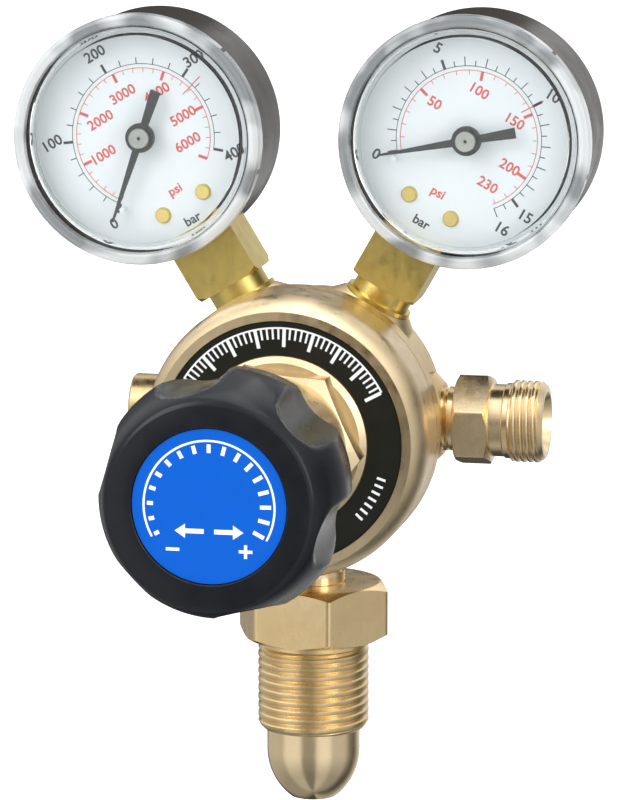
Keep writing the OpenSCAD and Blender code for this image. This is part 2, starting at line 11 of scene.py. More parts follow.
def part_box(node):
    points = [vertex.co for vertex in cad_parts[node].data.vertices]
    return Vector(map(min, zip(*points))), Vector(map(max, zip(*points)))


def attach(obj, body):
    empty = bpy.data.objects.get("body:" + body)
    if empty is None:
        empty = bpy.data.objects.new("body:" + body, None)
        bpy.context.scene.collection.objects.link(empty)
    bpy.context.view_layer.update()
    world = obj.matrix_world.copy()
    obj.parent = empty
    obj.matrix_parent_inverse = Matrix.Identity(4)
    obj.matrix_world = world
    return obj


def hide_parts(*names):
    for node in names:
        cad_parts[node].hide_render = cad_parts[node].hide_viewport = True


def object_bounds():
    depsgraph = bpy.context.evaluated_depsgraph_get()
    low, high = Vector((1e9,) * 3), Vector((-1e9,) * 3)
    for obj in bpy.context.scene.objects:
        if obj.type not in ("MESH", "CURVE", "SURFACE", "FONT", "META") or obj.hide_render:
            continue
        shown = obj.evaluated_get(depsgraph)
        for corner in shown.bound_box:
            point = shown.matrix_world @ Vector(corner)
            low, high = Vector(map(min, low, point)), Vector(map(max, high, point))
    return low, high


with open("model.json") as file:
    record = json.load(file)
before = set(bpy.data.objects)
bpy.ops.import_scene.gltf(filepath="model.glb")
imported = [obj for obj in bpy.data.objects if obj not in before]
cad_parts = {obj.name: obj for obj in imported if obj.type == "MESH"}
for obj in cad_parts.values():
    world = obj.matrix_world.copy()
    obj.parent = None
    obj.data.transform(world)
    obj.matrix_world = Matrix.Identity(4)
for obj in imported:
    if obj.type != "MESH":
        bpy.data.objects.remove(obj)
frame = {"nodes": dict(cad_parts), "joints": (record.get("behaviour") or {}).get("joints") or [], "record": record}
CAD_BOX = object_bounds()

MM = 0.001
RECORD = frame["record"]
JOINTS = {joint["name"]: joint for joint in frame["joints"]}
MOUNTS = {mount["name"]: mount for mount in RECORD["mounts"]}
SIDES = ("left", "right")

# ---------- sizes in millimetres, for what the frame doesn't give ----------

CENTRE_H = JOINTS["knob_turn"]["pos_m"][2] / MM
DRAWN = 0.03            # thickness of printed marks

NUT_AF = 28.0
NUT_TURN = 7.0          # degrees between a corner of the nut and straight right
NUT_HEX = 11.8
NUT_PITCH = 1.814
NUT_BAND = 0.35         # how far the band over the nut's thread lies below the crests
STEM_BORE = 6.55
OUTLET_AF = 17.0
OUTLET_TURN = 12.0
OUTLET_HEX_LOW = 30.0
OUTLET_HEX = 7.5
PORT_R = 6.58
OUTLET_PITCH = 1.337
OUTLET_THREAD = 7.2     # length of the outlet's full thread
OUTLET_BORE = 3.0
CONE_MOUTH = 6.2
CONE_DEPTH = 5.7

SCREW_R = 6.0
SCREW_PITCH = 1.5
SCREW_RUN_IN = 2.0      # length of the screw's plain tip

# a thread's groove over one pitch: share of the pitch, share of the depth
GROOVE = [(0.0, 0.0), (0.40, 0.0), (0.46, 0.10), (0.64, 0.90),
          (0.68, 1.0), (0.74, 1.0), (0.78, 0.90), (0.95, 0.10)]

KNOB_R = 24.0
KNOB_LOBES = 6
FLUTE_R = 8.5
FLUTE_AT = 28.3         # distance of a flute's centre from the knob's axis
FLUTE_TURN = 44.0
FLUTE_STOP = 7.0        # a flute's ball end is centred this far behind the knob's front
CUP_R = 18.6
CUP_DEPTH = 19.0
HUB_R = 8.2
HUB_DEPTH = 9.4
DISC_R = 14.8
RECESS = 1.3

LENS_R = 25.6
LENS_RIM = 2.3          # width of the lens's milky rim, which carries painted reflection
DIAL_FACE = 3.6
SCALE_R = 14.85         # black arc
INNER_SCALE_R = 14.0    # red arc
ZERO = 50.0             # the scale's ends, clockwise from the shank, in degrees
SPAN = 260.0

# ---------- places ----------


def place(origin, x, z):
    """Matrix from local millimetres to the row frame in metres."""
    x, z = Vector(x).normalized(), Vector(z).normalized()
    turn = Matrix((x, z.cross(x), z)).transposed().to_4x4()
    return Matrix.Translation(origin) @ turn @ Matrix.Scale(MM, 4)


CENTRE = Vector((0, 0, CENTRE_H * MM))
FORWARD = place(CENTRE, (1, 0, 0), (0, -1, 0))
DOWN = place(CENTRE, (-1, 0, 0), (0, 0, -1))
OUT = place(CENTRE, (0, 0, -1), (1, 0, 0))


def gauge_place(side):
    """Local Z toward the viewer of the dial, local Y away from the body."""
    origin = Vector(JOINTS[f"pointer_{side}_turn"]["pos_m"])
    away = (origin - CENTRE).normalized()
    return place(origin, (away.z, 0, -away.x), (0, -1, 0))


# ---------- mesh building ----------


def make(name, shapes, matrix, body, material, sharp=32):
    """One object from (points, faces) shapes, riding on a body. Edges over `sharp` degrees stay crisp."""
    mesh = bpy.data.meshes.new(name)
    points, faces = [], []
    for some_points, some_faces in shapes:
        faces += [[i + len(points) for i in face] for face in some_faces]
        points += [matrix @ Vector(point) for point in some_points]
    mesh.from_pydata(points, [], faces)
    work = bmesh.new()
    work.from_mesh(mesh)
    bmesh.ops.remove_doubles(work, verts=work.verts, dist=2e-7)
    bmesh.ops.dissolve_degenerate(work, dist=1e-7, edges=work.edges)
    bmesh.ops.recalc_face_normals(work, faces=work.faces)
    for face in work.faces:
        face.smooth = True
    for edge in work.edges:
        if len(edge.link_faces) == 2:
            edge.smooth = edge.calc_face_angle(0) < math.radians(sharp)
    work.to_mesh(mesh)
    work.free()
    obj = bpy.data.objects.new(name, mesh)
    bpy.context.scene.collection.objects.link(obj)
    mesh.materials.append(material)
    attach(obj, body)
    return obj


def turned(profile, steps=144, extra=()):
    """A surface about local Z. profile(angle) gives equally many (radius, height) points at every angle and
    runs round the whole section. extra holds further angles that need a column of their own."""
    angles = sorted({round(2 * math.pi * i / steps, 9) for i in range(steps)}
                    | {round(a % (2 * math.pi), 9) for a in extra})
    angles.append(2 * math.pi)
    columns = [profile(angle) for angle in angles]
    rows = len(columns[0])
    points = [(r * math.cos(a), r * math.sin(a), z) for a, column in zip(angles, columns) for r, z in column]
    faces = []
    for i in range(len(angles) - 1):
        for k in range(rows - 1):
            a, b = i * rows + k, (i + 1) * rows + k
            faces.append((a, b, b + 1, a + 1))
    return points, faces


def lathe(profile, steps=144):
    """A plain turned solid from (radius, height) points."""
    return turned(lambda angle: profile, steps)


def hex_radius(angle, flats, turn, rounding=0.12):
    """Distance from the axis to a hexagon's side, with its corners slightly broken."""
    step = math.radians(60)
    off = (angle - math.radians(turn)) % step - step / 2
    return min(flats / 2 / math.cos(off), flats / math.sqrt(3) - rounding)


def hex_angles(flats, turn, rounding=0.12):
    """The angles at which a broken corner begins, ends and peaks."""
    half = math.radians(30) - math.acos(min(1, flats / 2 / (flats / math.sqrt(3) - rounding)))
    return [math.radians(turn + 60 * k) + s * half for k in range(6) for s in (-1, 0, 1)]


def hex_side(radius, flats, low, high):
    """Side of a hexagon bar between two ends, whose corners are turned down by 30 degrees."""
    edge = flats / 2 - 0.2
    drop = (radius - edge) * math.tan(math.radians(30))
    return [(edge - 0.25, low), (edge, low + 0.08), (radius, low + drop + 0.08),
            (radius, high - drop - 0.08), (edge, high - 0.08), (edge - 0.25, high)]


def thread_rows(angle, radius, pitch, depth, start, end, limit):
    """A right-hand thread's rows at one angle, from start to end, no wider than limit(height) allows."""
    turns = int((end - start) / pitch) + 2
    rows = []
    for turn in range(-1, turns + 1):
        for along, deep in GROOVE:
            height = start + (turn + along + angle / (2 * math.pi) - 1) * pitch
            fixed = min(max(height, start), end)
            widest = limit(fixed)
            rows.append((min(radius - depth * deep, widest) if fixed == height else widest, fixed))
    return rows


def thread_limit(height, crest, band, start, end):
    """The widest that a thread may be: it runs out of a plain band at its start and narrows at its end."""
    run_out = crest - 1.0 + max(0.0, end - height - 0.05)
    return min(crest, run_out, crest - band + max(0.0, height - start) * 1.2)


def band(inner, outer, start, end, low, high, steps):
    """A flat curved strip between two dial angles, as a closed solid."""
    points, faces = [], []
    for i in range(steps + 1):
        a = math.radians(-90 - start - (end - start) * i / steps)
        for r, z in ((inner, low), (outer, low), (outer, high), (inner, high)):
            points.append((r * math.cos(a), r * math.sin(a), z))
        if i:
            for k in range(4):
                faces.append((4 * i - 4 + k, 4 * i + k, 4 * i + (k + 1) % 4, 4 * i - 4 + (k + 1) % 4))
    faces += [(3, 2, 1, 0), (4 * steps, 4 * steps + 1, 4 * steps + 2, 4 * steps + 3)]
    return points, faces


def prism(outline, low, high):
    """A closed solid from a flat outline."""
    n = len(outline)
    points = [(x, y, z) for z in (low, high) for x, y in outline]
    faces = [tuple(range(n))[::-1], tuple(range(n, 2 * n))]
    faces += [(i, (i + 1) % n, n + (i + 1) % n, n + i) for i in range(n)]
    return points, faces


def tick(angle, inner, outer, width, low, high):
    """A radial mark at a dial angle."""
    a = math.radians(-90 - angle)
    along, across = Vector((math.cos(a), math.sin(a))), Vector((-math.sin(a), math.cos(a))) * width / 2
    near, far = along * inner, along * outer
    return prism([near - across, far - across, far + across, near + across], low, high)


def lettering(words, size, x, y, low, high, turn=0.0):
    """Flat characters centred at a point, as closed solids."""
    curve = bpy.data.curves.new("lettering", "FONT")
    curve.body = words
    curve.size = size
    curve.align_x = "CENTER"
    curve.align_y = "CENTER"
    curve.resolution_u = 3
    curve.extrude = (high - low) / 2
    curve.offset = 0.06
    carrier = bpy.data.objects.new("lettering", curve)
    bpy.context.scene.collection.objects.link(carrier)
    mesh = bpy.data.meshes.new_from_object(carrier.evaluated_get(bpy.context.evaluated_depsgraph_get()))
    spot = Matrix.Translation((x, y, (low + high) / 2)) @ Matrix.Rotation(turn, 4, "Z")
    points = [tuple(spot @ vertex.co) for vertex in mesh.vertices]
    faces = [tuple(polygon.vertices) for polygon in mesh.polygons]
    bpy.data.objects.remove(carrier)
    bpy.data.curves.remove(curve)
    bpy.data.meshes.remove(mesh)
    return points, faces


# ---------- materials ----------


def new_material(name):
    material = bpy.data.materials.new(name)
    material.use_nodes = True
    tree = material.node_tree
    return material, tree, tree.nodes["Principled BSDF"]


def node(tree, kind, **values):
    """A shader node; keys with a capital are input sockets, the rest are its settings."""
    made = tree.nodes.new("ShaderNode" + kind)
    for key, value in values.items():
        if key[0].isupper():
            made.inputs[key.replace("_", " ")].default_value = value
        else:
            setattr(made, key, value)
    return made


def coordinates(tree):
    return node(tree, "TexCoord").outputs["Object"]


def stretched(tree, scale):
    """Row-frame coordinates scaled by a different amount along each axis."""
    mapping = node(tree, "Mapping", Scale=scale)
    tree.links.new(coordinates(tree), mapping.inputs["Vector"])
    return mapping.outputs["Vector"]


def rings(tree, origin, axis):
    """Coordinates that change only with distance from an axis and along it, as a lathe's marks do."""
    shift = node(tree, "VectorMath", operation="SUBTRACT")
    tree.links.new(coordinates(tree), shift.inputs[0])
    shift.inputs[1].default_value = origin
    along = node(tree, "VectorMath", operation="DOT_PRODUCT")
    tree.links.new(shift.outputs[0], along.inputs[0])
    along.inputs[1].default_value = axis
    out = node(tree, "VectorMath", operation="CROSS_PRODUCT")
    tree.links.new(shift.outputs[0], out.inputs[0])
    out.inputs[1].default_value = axis
    radius = node(tree, "VectorMath", operation="LENGTH")
    tree.links.new(out.outputs[0], radius.inputs[0])
    joined = node(tree, "CombineXYZ")
    tree.links.new(along.outputs["Value"], joined.inputs["X"])
    tree.links.new(radius.outputs["Value"], joined.inputs["Y"])
    return joined.outputs[0]


def noise(tree, vector, scale, detail=3.0, rough=0.5):
    made = node(tree, "TexNoise", Scale=scale, Detail=detail, Roughness=rough)
    tree.links.new(vector, made.inputs["Vector"])
    return made.outputs["Fac"]


def ranged(tree, value, low, high, at=(0.3, 0.7)):
    made = node(tree, "MapRange", From_Min=at[0], From_Max=at[1], To_Min=low, To_Max=high)
    tree.links.new(value, made.inputs["Value"])
    return made.outputs["Result"]


def mixed(tree, factor, first, second):
    made = node(tree, "Mix", data_type="RGBA")
    tree.links.new(factor, made.inputs["Factor"])
    colours = [socket for socket in made.inputs if socket.type == "RGBA"]
    for socket, colour in zip(colours, (first, second)):
        socket.default_value = (*colour, 1.0)
    return [socket for socket in made.outputs if socket.type == "RGBA"][0]


def bumped(tree, shader, value, strength, distance, after=None):
    made = node(tree, "Bump", Strength=strength, Distance=distance)
    tree.links.new(value, made.inputs["Height"])
    if after is not None:
        tree.links.new(after, made.inputs["Normal"])
    tree.links.new(made.outputs["Normal"], shader.inputs["Normal"])
    return made.outputs["Normal"]


def brass(name, colour, tarnish, rough, finish, origin=CENTRE, axis=(0, 1, 0)):
    """Brass as forged, turned on a lathe about an axis, or drawn as bar along an axis."""
    material, tree, shader = new_material(name)
    shader.inputs["Metallic"].default_value = 1.0
    cloud = noise(tree, coordinates(tree), 90.0, 4.0)
    tree.links.new(mixed(tree, ranged(tree, cloud, 0.0, 1.0), colour, tarnish), shader.inputs["Base Color"])
    smear = noise(tree, stretched(tree, (1.0, 1.0, 0.6)), 420.0, 5.0, 0.6)
    tree.links.new(ranged(tree, smear, rough - 0.05, rough + 0.10), shader.inputs["Roughness"])
    if finish == "forged":
        pits = noise(tree, coordinates(tree), 1900.0, 3.0, 0.6)
        normal = bumped(tree, shader, pits, 0.05, 0.0002)
        waves = noise(tree, coordinates(tree), 210.0, 2.0)
        bumped(tree, shader, waves, 0.10, 0.0006, normal)
    elif finish == "turned":
        lines = noise(tree, rings(tree, origin, axis), 5200.0, 2.0, 0.7)
        normal = bumped(tree, shader, lines, 0.05, 0.0001)
        waves = noise(tree, coordinates(tree), 260.0, 2.0)
        bumped(tree, shader, waves, 0.04, 0.0005, normal)
    else:
        scale = tuple(160.0 if a else 3200.0 for a in axis)
        lines = noise(tree, stretched(tree, scale), 1.0, 3.0, 0.6)
        normal = bumped(tree, shader, lines, 0.06, 0.0001)
        dents = noise(tree, coordinates(tree), 330.0, 2.0)
        bumped(tree, shader, dents, 0.05, 0.0005, normal)
    return material


def steel(name, colour=(0.62, 0.63, 0.64), rough=0.28):
    material, tree, shader = new_material(name)
    shader.inputs["Metallic"].default_value = 1.0
    cloud = noise(tree, coordinates(tree), 300.0)
    darker = tuple(c * 0.82 for c in colour)
    tree.links.new(mixed(tree, ranged(tree, cloud, 0.0, 1.0), colour, darker), shader.inputs["Base Color"])
    tree.links.new(ranged(tree, cloud, rough - 0.06, rough + 0.1), shader.inputs["Roughness"])
    return material


def plastic(name, colour, second, rough, grain, shine=0.5):
    """Moulded plastic, rubber or paint with a fine skin."""
    material, tree, shader = new_material(name)
    cloud = noise(tree, coordinates(tree), 150.0, 4.0)
    tree.links.new(mixed(tree, ranged(tree, cloud, 0.0, 1.0), colour, second), shader.inputs["Base Color"])
    fine = noise(tree, coordinates(tree), 2600.0, 2.0)
    tree.links.new(ranged(tree, cloud, rough - 0.04, rough + 0.06), shader.inputs["Roughness"])
    shader.inputs["Specular IOR Level"].default_value = shine
    bumped(tree, shader, fine, grain, 0.00008)
    return material


def clear(name, tint, rough, origin, window):
    """Clear moulded plastic that lets lamps through, milky beyond the window's radius about its axis, where dark
    and pale patches are painted reflection.
    """
    material, tree, shader = new_material(name)
    shader.inputs["Base Color"].default_value = (*tint, 1.0)
    shader.inputs["Roughness"].default_value = rough
    shader.inputs["IOR"].default_value = 1.5
    shader.inputs["Transmission Weight"].default_value = 1.0
    path = node(tree, "LightPath")
    through = node(tree, "BsdfTransparent", Color=(*tint, 1.0))
    choice = node(tree, "MixShader")
    tree.links.new(path.outputs["Is Shadow Ray"], choice.inputs["Fac"])
    tree.links.new(shader.outputs["BSDF"], choice.inputs[1])
    tree.links.new(through.outputs["BSDF"], choice.inputs[2])
    rim = node(tree, "BsdfPrincipled", Roughness=0.22)
    # painted reflection: dark and pale patches on the rim stand in for the surroundings that the clear rim
    # reflects
    painted_reflection_patches = ranged(tree, noise(tree, coordinates(tree), 110.0, 1.0), 0.0, 1.0, (0.42, 0.58))
    tree.links.new(mixed(tree, painted_reflection_patches, (0.26, 0.28, 0.29), (0.70, 0.73, 0.74)), rim.inputs["Base Color"])
    spot = node(tree, "SeparateXYZ")
    tree.links.new(rings(tree, origin, (0, 1, 0)), spot.inputs[0])
    milky = ranged(tree, spot.outputs["Y"], 0.0, 0.75, (window, window + 0.0002))
    whole = node(tree, "MixShader")
    tree.links.new(milky, whole.inputs["Fac"])
    tree.links.new(choice.outputs["Shader"], whole.inputs[1])
    tree.links.new(rim.outputs["BSDF"], whole.inputs[2])
    tree.links.new(whole.outputs["Shader"], tree.nodes["Material Output"].inputs["Surface"])
    return material


DOWN_AXIS, OUT_AXIS = (0, 0, 1), (1, 0, 0)
PALE, PALE_WORN = (0.86, 0.67, 0.38), (0.81, 0.60, 0.31)
CREAM, CREAM_WORN = (0.90, 0.73, 0.47), (0.86, 0.67, 0.40)
YELLOW, YELLOW_WORN = (0.76, 0.60, 0.20), (0.66, 0.49, 0.14)
LOOKS = {
    "forged": brass("brass_forged", PALE, PALE_WORN, 0.30, "forged"),
    "faced": brass("brass_faced", CREAM, CREAM_WORN, 0.30, "turned"),
    "nut": brass("brass_nut", PALE, PALE_WORN, 0.27, "drawn", axis=DOWN_AXIS),
    "stem": brass("brass_stem", CREAM, CREAM_WORN, 0.16, "turned", axis=DOWN_AXIS),
    "outlet": brass("brass_outlet", CREAM, CREAM_WORN, 0.22, "drawn", axis=OUT_AXIS),
    "socket": brass("brass_socket", YELLOW, YELLOW_WORN, 0.30, "forged"),
    "bronze": brass("bronze_sintered", (0.45, 0.30, 0.16), (0.34, 0.22, 0.12), 0.5, "forged"),
    "steel": steel("steel_bright"),
    "boss": steel("pointer_boss", (0.42, 0.44, 0.40), 0.35),
    "knob": plastic("knob_plastic", (0.005, 0.006, 0.009), (0.008, 0.009, 0.012), 0.22, 0.03, 0.28),
    "label": plastic("label_print", (0.011, 0.012, 0.009), (0.014, 0.014, 0.011), 0.40, 0.05, 0.15),
    "blue": plastic("disc_blue", (0.0, 0.092, 0.50), (0.0, 0.086, 0.47), 0.35, 0.04, 0.1),
    "print_white": plastic("print_white", (0.82, 0.86, 0.88), (0.76, 0.80, 0.83), 0.4, 0.03),
    "print_black": plastic("print_black", (0.02, 0.025, 0.03), (0.03, 0.035, 0.04), 0.45, 0.03),
    "print_red": plastic("print_red", (0.72, 0.09, 0.08), (0.66, 0.11, 0.09), 0.45, 0.03),
    "dial": plastic("dial_enamel", (0.84, 0.88, 0.90), (0.81, 0.86, 0.88), 0.35, 0.03),
    "pointer": plastic("pointer_paint", (0.010, 0.014, 0.014), (0.014, 0.018, 0.018), 0.4, 0.04),
    # the case's black paint is tinted brown, a painted reflection of its warm surroundings
    "case": plastic("case_paint", (0.020, 0.012, 0.006), (0.014, 0.009, 0.005), 0.22, 0.06, 0.12),
    "rubber": plastic("rubber", (0.018, 0.018, 0.018), (0.026, 0.025, 0.024), 0.6, 0.2),
    "pad": plastic("nylon_pad", (0.7, 0.67, 0.58), (0.66, 0.62, 0.53), 0.45, 0.05),
}
for side in SIDES:
    LOOKS[f"lens_{side}"] = clear(f"clear_plastic_{side}", (0.97, 0.985, 0.99), 0.02,
                                  JOINTS[f"pointer_{side}_turn"]["pos_m"], (LENS_R - LENS_RIM) * MM)

NODE_LOOKS = {
    "forged": ["body"],
    "faced": ["bonnet", "slip_ring", "valve_nozzle", "valve_poppet"],
    "nut": ["relief_housing", "relief_cap"],
    "stem": ["inlet_stem"],
    "socket": [f"{n}_{s}" for n in ("socket", "screws", "frame", "sector", "link") for s in SIDES],
    "bronze": ["inlet_filter", "inlet_seal", "outlet_seal", "relief_seal", "tube_left", "tube_right",
               "seal_left", "seal_right"],
    "steel": ["diaphragm_plate", "poppet_spring", "main_spring", "spring_seat", "thrust_ball", "filter_clip",
              "relief_poppet", "relief_spring"],
    "label": ["label_ring"],
    "blue": ["knob_disc"],
    "dial": ["dial_left", "dial_right"],
    "pointer": ["pointer_left", "pointer_right"],
    "case": ["case_left", "case_right"],
    "rubber": ["diaphragm", "nozzle_seal", "vent_left", "vent_right"],
    "pad": ["poppet_pad"],
    "lens_left": ["lens_left"],
    "lens_right": ["lens_right"],
}

for look, names in NODE_LOOKS.items():
    for name in names:
        slots = frame["nodes"][name].data.materials
        slots.clear()
        slots.append(LOOKS[look])

# ---------- inlet nut ----------


def inlet_nut():
    low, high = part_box("inlet_nut")
    top, end = CENTRE_H - high.z / MM, CENTRE_H - low.z / MM
    crest = MOUNTS["inlet_thread"]["dims"]["r_mm"]
    start = CENTRE_H - MOUNTS["inlet_thread"]["dims"]["length_mm"]
    collar = top + NUT_HEX

    def limit(height):
        return thread_limit(height, crest, NUT_BAND, start, end)

    def profile(angle):
        side = hex_side(hex_radius(angle, NUT_AF, NUT_TURN), NUT_AF, top, collar)
        thread = thread_rows(angle, crest, NUT_PITCH, NUT_PITCH * 0.34, start, end - 0.05, limit)
        return ([(STEM_BORE, end - 0.3), (STEM_BORE, top + 0.3), (STEM_BORE + 0.3, top)] + side
                + [(crest - NUT_BAND, collar), (crest - NUT_BAND, start)] + thread
                + [(crest - 1.3, end), (STEM_BORE + 0.3, end), (STEM_BORE, end - 0.3)])

    shape = turned(profile, 144, hex_angles(NUT_AF, NUT_TURN))
    nut = make("inlet_nut_threaded", [shape], DOWN, "nut", LOOKS["nut"])
    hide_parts("inlet_nut")


# ---------- outlet ----------


def outlet_fitting():
    low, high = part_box("outlet_fitting")
    stem, end = low.x / MM, high.x / MM
    crest = MOUNTS["outlet_thread"]["dims"]["r_mm"]
    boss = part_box("body")[1].x / MM
    hex_high = OUTLET_HEX_LOW + OUTLET_HEX
    start = end - OUTLET_THREAD

    def limit(height):
        return thread_limit(height, crest, 0.6, start, end)

    def port_limit(height):
        return min(PORT_R, PORT_R - 0.7 + (height - stem) * 0.8)

    def profile(angle):
        port = thread_rows(angle, PORT_R, OUTLET_PITCH, 0.7, stem, boss, port_limit)
        side = hex_side(hex_radius(angle, OUTLET_AF, OUTLET_TURN), OUTLET_AF, OUTLET_HEX_LOW, hex_high)
        thread = thread_rows(angle, crest, OUTLET_PITCH, OUTLET_PITCH * 0.36, start, end - 0.05, limit)
        return ([(OUTLET_BORE, stem), (PORT_R - 0.8, stem)] + port
                + [(PORT_R - 0.1, boss), (PORT_R - 0.1, OUTLET_HEX_LOW)]
                + side + [(crest - 0.95, hex_high), (crest - 0.95, end - 8.5), (crest - 0.65, end - 8.2),
                          (crest - 0.6, start)]
                + thread + [(crest - 1.4, end), (CONE_MOUTH, end), (OUTLET_BORE, end - CONE_DEPTH),
                            (OUTLET_BORE, stem)])

    shape = turned(profile, 144, hex_angles(OUTLET_AF, OUTLET_TURN))
    fitting = make("outlet_fitting_threaded", [shape], OUT, "regulator", LOOKS["outlet"])
    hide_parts("outlet_fitting")


# ---------- adjusting screw ----------


def adjusting_screw():
    low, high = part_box("adjusting_screw")
    tip, end = -high.y / MM, -low.y / MM
    hub = -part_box("knob")[1].y / MM + HUB_DEPTH
    start = tip + SCREW_RUN_IN

    def limit(height):
        return SCREW_R - 1.2 + min(1.2, max(0.0, height - start))

    def profile(angle):
        thread = thread_rows(angle, SCREW_R, SCREW_PITCH, 0.85, start, hub - 1, limit)
        return ([(0, tip + 1.6), (1.7, tip + 0.1), (SCREW_R - 1.6, tip), (SCREW_R - 1.2, tip + 0.4)] + thread
                + [(SCREW_R - 0.8, hub - 1), (SCREW_R - 0.8, end), (0, end)])

    screw = make("adjusting_screw_threaded", [turned(profile, 120)], FORWARD, "knob", LOOKS["steel"])
    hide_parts("adjusting_screw")


# ---------- knob ----------


def curve_through(points, count):
    """Evenly spaced points on a smooth curve through the given ones."""
    ends = [points[0]] + points + [points[-1]]
    curve = []
    for i in range(len(points) - 1):
        a, b, c, d = (Vector(p) for p in ends[i:i + 4])
        for k in range(count):
            t = k / count
            curve.append(0.5 * (2 * b + (c - a) * t + (2 * a - 5 * b + 4 * c - d) * t * t
                                + (3 * b - a - 3 * c + d) * t ** 3))
    return [(p.x, p.y) for p in curve] + [points[-1]]


def soft_least(a, b, blend):
    """The lesser of two lengths, rounded off where they cross."""
    gap = max(blend - abs(a - b), 0.0) / blend
    return min(a, b) - gap * gap * blend / 4


def knob():
    front, back = (-corner.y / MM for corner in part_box("knob"))
    r = KNOB_R
    side = curve_through([
        (r - 4.7, front), (r - 3.8, front - 0.5), (r - 3.0, front - 1.6), (r - 2.1, front - 3.6),
        (r - 1.2, front - 6.6), (r - 0.3, front - 10.6), (r, front - 14), (r - 0.4, back + 9.4),
        (r - 1.0, back + 5.4), (r - 1.8, back + 1.9), (r - 2.3, back + 0.6), (r - 3.1, back)], 5)

    def flute(angle, height):
        """Distance from the axis to the nearest flute, which ends in a ball toward the front."""
        step = math.radians(360 / KNOB_LOBES)
        off = (angle - math.radians(FLUTE_TURN) + step / 2) % step - step / 2
        past = max(0.0, height - (front - FLUTE_STOP))
        reach = FLUTE_R ** 2 - past ** 2 - (FLUTE_AT * math.sin(off)) ** 2
        return FLUTE_AT * math.cos(off) - math.sqrt(reach) if reach > 0 else 2 * r

    def profile(angle):
        outside = [(soft_least(min(width, r), flute(angle, height), 1.0), height) for width, height in side]
        return ([(0, front - RECESS), (DISC_R + 0.15, front - RECESS), (DISC_R + 0.15, front - 0.25),
                 (DISC_R + 0.4, front)] + outside
                + [(CUP_R, back), (CUP_R, back + CUP_DEPTH - 1.2), (CUP_R - 1.2, back + CUP_DEPTH),
                   (HUB_R + 1.0, back + CUP_DEPTH), (HUB_R, back + CUP_DEPTH - 1.0),
                   (HUB_R, back + HUB_DEPTH + 0.3), (HUB_R - 0.3, back + HUB_DEPTH), (0, back + HUB_DEPTH)])

    shape = turned(profile, 288)
    body = make("knob_lobed", [shape], FORWARD, "knob", LOOKS["knob"], 40)
    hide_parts("knob")


def knob_marks():
    """A white turning scale from minus to plus, drawn on the disc."""
    face = -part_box("knob_disc")[0].y / MM
    low, high = face - 0.02, face + DRAWN
    marks = []
    count = 17
    for i in range(count):
        angle = 62 + 236 * i / (count - 1)
        size = 1.0 + 1.3 * i / (count - 1)
        marks.append(tick(angle, 11.9 - size, 11.9, 0.75, low, high))
    marks.append(band(12.35, 12.75, 61, 299, low, high, 90))
    long, thin = 1.3, 0.3
    minus = [(-long, -thin), (long, -thin), (long, thin), (-long, thin)]
    plus = [(-long, -thin), (-thin, -thin), (-thin, -long), (thin, -long), (thin, -thin), (long, -thin),
            (long, thin), (thin, thin), (thin, long), (-thin, long), (-thin, thin), (-long, thin)]
    for angle, sign in ((40, minus), (-40, plus)):
        a = math.radians(-90 - angle)
        marks.append(prism([(10.9 * math.cos(a) + x, 10.9 * math.sin(a) + y) for x, y in sign], low, high))
    for sign in (-1, 1):
        marks.append(prism([(sign * 1.0, -5.2), (sign * 4.6, -5.2), (sign * 4.6, -6.1), (sign * 6.6, -4.75),
                            (sign * 4.6, -3.4), (sign * 4.6, -4.3), (sign * 1.0, -4.3)][::sign], low, high))
    make("knob_marks", marks, FORWARD, "knob", LOOKS["print_white"])


def label_marks():
    """White graduations on the bonnet's black ring."""
    face = -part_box("label_ring")[0].y / MM
    low, high = face - 0.02, face + DRAWN
    marks = [band(23.0, 23.35, 122, 242, low, high, 90)]
    for i in range(41):
        angle = 122 + 3 * i
        long = i % 5 == 0
        marks.append(tick(angle, 19.4 if long else 20.9, 23.0, 0.7 if long else 0.4, low, high))
    for i in range(7):
        marks.append(tick(288 + 4 * i, 20.6, 22.4, 0.5, low, high))
    make("label_marks", marks, FORWARD, "regulator", LOOKS["print_white"])


# ---------- gauges ----------

SCALES = {
    "left": {"full": 400, "numbers": (0, 100, 200, 300, 400),
             "major": 100, "minor": 20, "half": None, "minor_long": 1.3,
             "inner_full": 5800, "inner_last": 6000, "inner_numbers": (1000, 2000, 3000, 4000, 5000, 6000),
             "inner_major": 1000, "inner_minor": 200, "limit": 315},
    "right": {"full": 16, "numbers": (0, 5, 10, 15, 16),
              "major": 5, "minor": 1, "half": 0.5, "minor_long": 1.9,
              "inner_full": 232, "inner_last": 230, "inner_numbers": (50, 100, 150, 200, 230),
              "inner_major": 50, "inner_minor": 10, "limit": 10},
}


